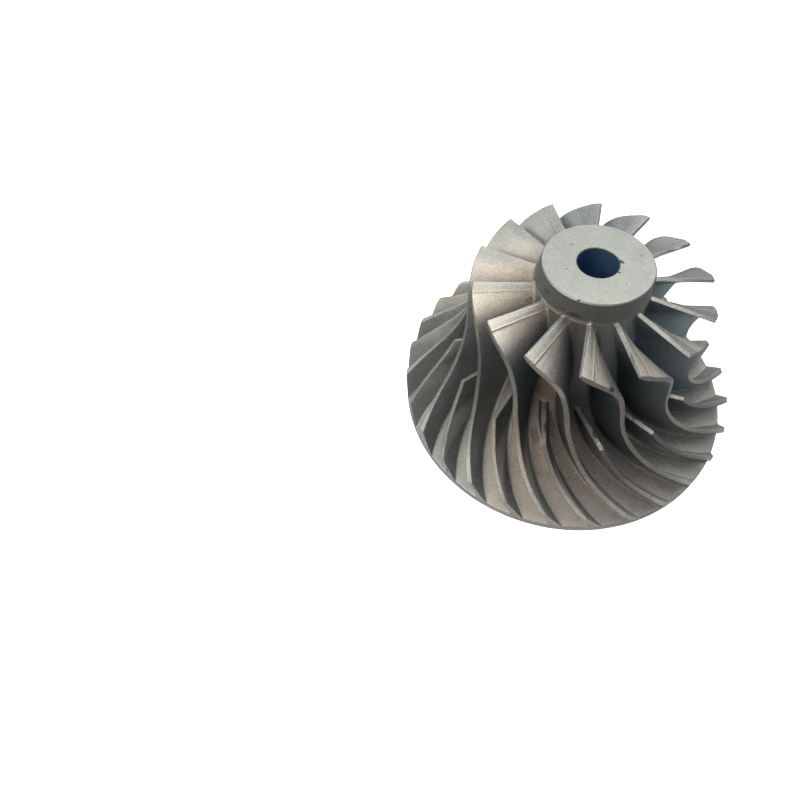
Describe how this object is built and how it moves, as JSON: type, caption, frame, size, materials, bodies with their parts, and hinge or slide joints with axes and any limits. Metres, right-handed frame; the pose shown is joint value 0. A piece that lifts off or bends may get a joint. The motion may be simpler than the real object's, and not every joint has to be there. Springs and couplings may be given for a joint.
{
  "type": "gas turbine compressor wheel",
  "caption": "Bored radial wheel of a small gas turbine: a cast hub with a turned nose and thin disc, curved full blades and shorter splitter blades between them.",
  "frame": {"origin": "centre of the flat back face, on the shaft's axis", "axes": "+Z along the shaft's axis, from the back face to the nose"},
  "size_m": [0.13, 0.13, 0.0737],
  "materials": {
    "cast_metal": "investment-cast nickel alloy, blasted, matt with a fine grain",
    "turned_metal": "nickel alloy, turned flat, satin"
  },
  "bodies": {
    "root": {"hub": "turned_metal", "full_blade_01": "cast_metal", "full_blade_02": "cast_metal", "full_blade_03": "cast_metal", "full_blade_04": "cast_metal", "full_blade_05": "cast_metal", "full_blade_06": "cast_metal", "full_blade_07": "cast_metal", "full_blade_08": "cast_metal", "full_blade_09": "cast_metal", "full_blade_10": "cast_metal", "full_blade_11": "cast_metal", "full_blade_12": "cast_metal", "full_blade_13": "cast_metal", "full_blade_14": "cast_metal", "splitter_blade_01": "cast_metal", "splitter_blade_02": "cast_metal", "splitter_blade_03": "cast_metal", "splitter_blade_04": "cast_metal", "splitter_blade_05": "cast_metal", "splitter_blade_06": "cast_metal", "splitter_blade_07": "cast_metal", "splitter_blade_08": "cast_metal", "splitter_blade_09": "cast_metal", "splitter_blade_10": "cast_metal", "splitter_blade_11": "cast_metal", "splitter_blade_12": "cast_metal", "splitter_blade_13": "cast_metal", "splitter_blade_14": "cast_metal"}
  },
  "joints": []
}
